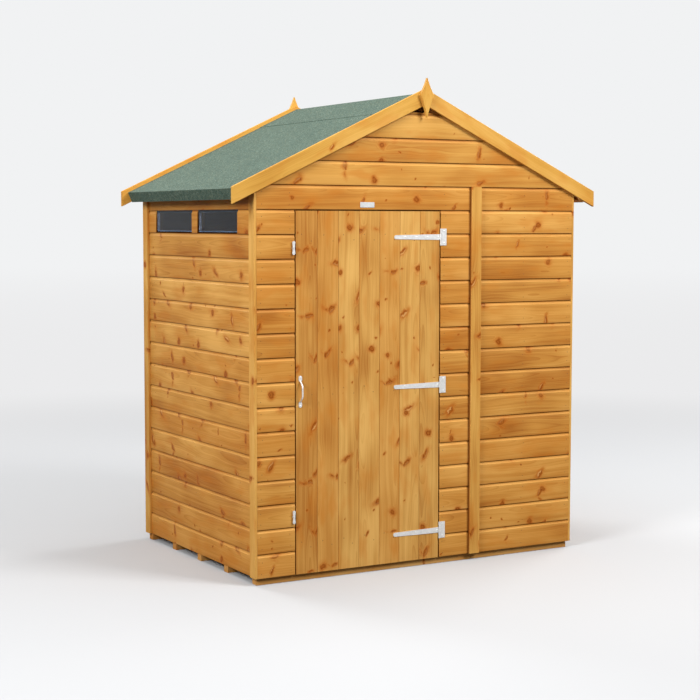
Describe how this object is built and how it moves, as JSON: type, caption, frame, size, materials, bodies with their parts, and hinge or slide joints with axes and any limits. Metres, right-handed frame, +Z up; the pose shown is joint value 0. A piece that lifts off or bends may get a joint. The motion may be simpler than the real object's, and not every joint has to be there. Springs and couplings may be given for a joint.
{
  "type": "garden security shed",
  "caption": "Small timber garden shed with shiplap walls, a low apex roof, high narrow windows and a ledged door on T hinges.",
  "frame": {"origin": "on the ground, at the middle of the shed", "axes": "+X along the front to the right, +Y from the front to the back, +Z up"},
  "size_m": [2.022, 1.348, 2.3331],
  "materials": {
    "cladding_pine": "matte",
    "trim_pine": "matte",
    "frame_pine": "matte",
    "floor_pine": "matte",
    "roof_felt": "matte",
    "galvanised_steel": "satin",
    "glazing": "gloss"
  },
  "bodies": {
    "root": {"front_cladding_left": "cladding_pine", "front_cladding_right": "cladding_pine", "front_cladding_over_door": "cladding_pine", "front_cladding_narrow": "cladding_pine", "front_gable_cladding": "cladding_pine", "back_cladding": "cladding_pine", "back_gable_cladding": "cladding_pine", "left_cladding": "cladding_pine", "left_window_posts": "cladding_pine", "left_head_cladding": "cladding_pine", "right_cladding": "cladding_pine", "corner_trims": "trim_pine", "joint_strips": "trim_pine", "barge_boards_left": "trim_pine", "barge_boards_right": "trim_pine", "finials": "trim_pine", "window_beads": "trim_pine", "front_studs": "frame_pine", "front_rails": "frame_pine", "back_studs": "frame_pine", "back_rails": "frame_pine", "left_studs": "frame_pine", "left_rails": "frame_pine", "right_studs": "frame_pine", "right_rails": "frame_pine", "gable_frames": "frame_pine", "roof_rails": "frame_pine", "ridge_beam": "frame_pine", "door_stops": "frame_pine", "floor_bearers": "frame_pine", "floor_boards": "floor_pine", "roof_boards_left": "floor_pine", "roof_boards_right": "floor_pine", "roof_felt_left": "roof_felt", "roof_felt_right": "roof_felt", "felt_ridge_cap": "roof_felt", "hinge_plates": "galvanised_steel", "button_pivots": "galvanised_steel", "window_panes": "glazing"},
    "door": {"door_boards": "cladding_pine", "door_ledges": "frame_pine", "door_braces": "frame_pine", "door_handle": "galvanised_steel", "hinge_arms": "galvanised_steel"},
    "upper_button": {"upper_turn_button": "galvanised_steel"},
    "lower_button": {"lower_turn_button": "galvanised_steel"}
  },
  "joints": [
    {"name": "door_hinge", "type": "hinge", "parent": "root", "child": "door", "pos_m": [0.097, -0.646, 0.875], "axis": [0, 0, 1], "range_deg": [0, 170]},
    {"name": "upper_button_turn", "type": "hinge", "parent": "root", "child": "upper_button", "pos_m": [-0.7, -0.6488, 1.538], "axis": [0, 1, 0], "continuous": true},
    {"name": "lower_button_turn", "type": "hinge", "parent": "root", "child": "lower_button", "pos_m": [-0.7, -0.6488, 0.303], "axis": [0, 1, 0], "continuous": true}
  ]
}
